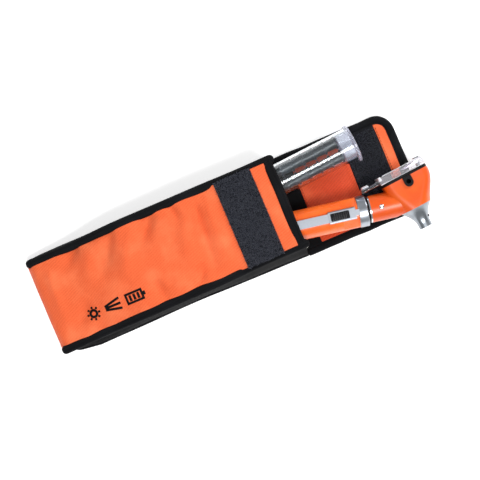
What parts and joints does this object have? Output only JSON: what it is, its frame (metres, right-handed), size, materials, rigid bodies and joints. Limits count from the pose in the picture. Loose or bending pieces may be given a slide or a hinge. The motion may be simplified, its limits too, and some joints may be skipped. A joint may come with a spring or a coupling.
{
  "type": "otoscope kit",
  "caption": "Pocket otoscope with a battery handle, swinging magnifier and tapered speculum cone, in an open padded belt pouch with a clear tube of ear specula.",
  "frame": {"origin": "middle of the pouch's back face, on the surface it lies on", "axes": "+X along the pouch to the free end of the open flap, +Y to the side that the specula tube lies on, +Z away from the surface"},
  "size_m": [0.2559, 0.0797, 0.0321],
  "materials": {
    "orange_fabric": "woven",
    "black_fabric": "woven tape",
    "loop_pile": "looped pile",
    "hook_pile": "hooked pile",
    "lining": "fine woven",
    "orange_plastic": "satin",
    "black_plastic": "satin",
    "black_rubber": "matte",
    "silver": "satin",
    "chrome": "polished",
    "brass": "polished",
    "clear_plastic": "clear",
    "lens_glass": "clear",
    "milky_plastic": "translucent",
    "specula_plastic": "satin",
    "cell_sleeve": "gloss",
    "board_green": "matte"
  },
  "bodies": {
    "pouch": {"back_panel": "black_fabric", "rear_binding": "black_fabric", "pocket_front": "orange_fabric", "side_gusset_lower": "black_fabric", "front_binding_lower": "black_fabric", "side_gusset_upper": "black_fabric", "front_binding_upper": "black_fabric", "mouth_binding": "black_fabric", "loop_strip": "loop_pile"},
    "flap": {"flap_panel": "black_fabric", "flap_binding": "black_fabric", "mouth_strip": "black_fabric", "flap_lining": "lining", "hook_strip": "hook_pile", "flap_end_strip": "orange_fabric"},
    "head": {"head_housing": "orange_plastic", "window_gasket": "black_plastic", "insufflation_port": "black_plastic", "speculum_cone": "silver", "cone_pin": "black_plastic", "pivot_rivet": "chrome", "neck_screw": "chrome", "neck_ring": "chrome", "neck_sleeve": "black_plastic", "contact_pin": "brass", "led_board": "board_green", "led": "lens_glass", "light_guide": "clear_plastic"},
    "magnifier": {"magnifier_carrier": "clear_plastic", "magnifier_lens": "lens_glass"},
    "handle": {"handle_tube": "orange_plastic", "locking_collar": "silver", "switch_plate": "silver", "cell_lower": "cell_sleeve", "cell_upper": "cell_sleeve", "contact_disc": "brass"},
    "clip": {"pocket_clip": "silver"},
    "switch": {"switch_pad": "black_rubber", "switch_stem": "black_plastic", "switch_contact": "brass"},
    "spring": {"battery_spring": "chrome"},
    "end_cap": {"end_cap": "silver", "cap_seal": "black_rubber"},
    "tube": {"specula_tube": "clear_plastic", "specula_large": "specula_plastic", "specula_small": "specula_plastic"},
    "tube_cap": {"tube_cap": "milky_plastic"}
  },
  "joints": [
    {"name": "flap_fold", "type": "hinge", "parent": "pouch", "child": "flap", "pos_m": [0.0433, 0, 0], "axis": [0, 1, 0], "range_deg": [0, 90]},
    {"name": "otoscope_slide", "type": "slide", "parent": "pouch", "child": "head", "axis": [0.9842, -0.1771, 0], "range_m": [0, 0.1]},
    {"name": "magnifier_swing", "type": "hinge", "parent": "head", "child": "magnifier", "pos_m": [0.12818, -0.00842, 0.0152], "axis": [-0.0837, 0.9965, 0], "range_deg": [0, 95]},
    {"name": "handle_twist", "type": "hinge", "parent": "head", "child": "handle", "pos_m": [0.0887, -0.02165, 0.0152], "axis": [0.9842, -0.1771, 0], "range_deg": [0, 30]},
    {"name": "switch_slide", "type": "slide", "parent": "handle", "child": "switch", "axis": [0.9842, -0.1771, 0], "range_m": [0, 0.003]},
    {"name": "clip_flex", "type": "hinge", "parent": "handle", "child": "clip", "pos_m": [0.06208, -0.01686, 0.02615], "axis": [0.1771, 0.9842, 0], "range_deg": [0, 4], "stiffness_Nm_per_rad": 1},
    {"name": "cap_travel", "type": "slide", "parent": "handle", "child": "spring", "axis": [-0.9842, 0.1771, 0], "range_m": [0, 0.006]},
    {"name": "cap_turn", "type": "hinge", "parent": "spring", "child": "end_cap", "pos_m": [-0.04702, 0.00277, 0.0152], "axis": [-0.9842, 0.1771, 0], "range_deg": [0, 1440]},
    {"name": "tube_slide", "type": "slide", "parent": "pouch", "child": "tube", "axis": [0.9973, 0.0732, 0], "range_m": [0, 0.09]},
    {"name": "tube_cap_pull", "type": "slide", "parent": "tube", "child": "tube_cap", "axis": [0.9973, 0.0732, 0], "range_m": [0, 0.02]}
  ],
  "couplings": [
    {"joint": "cap_turn", "follows": "cap_travel", "rad_per_m": 4188.8}
  ]
}
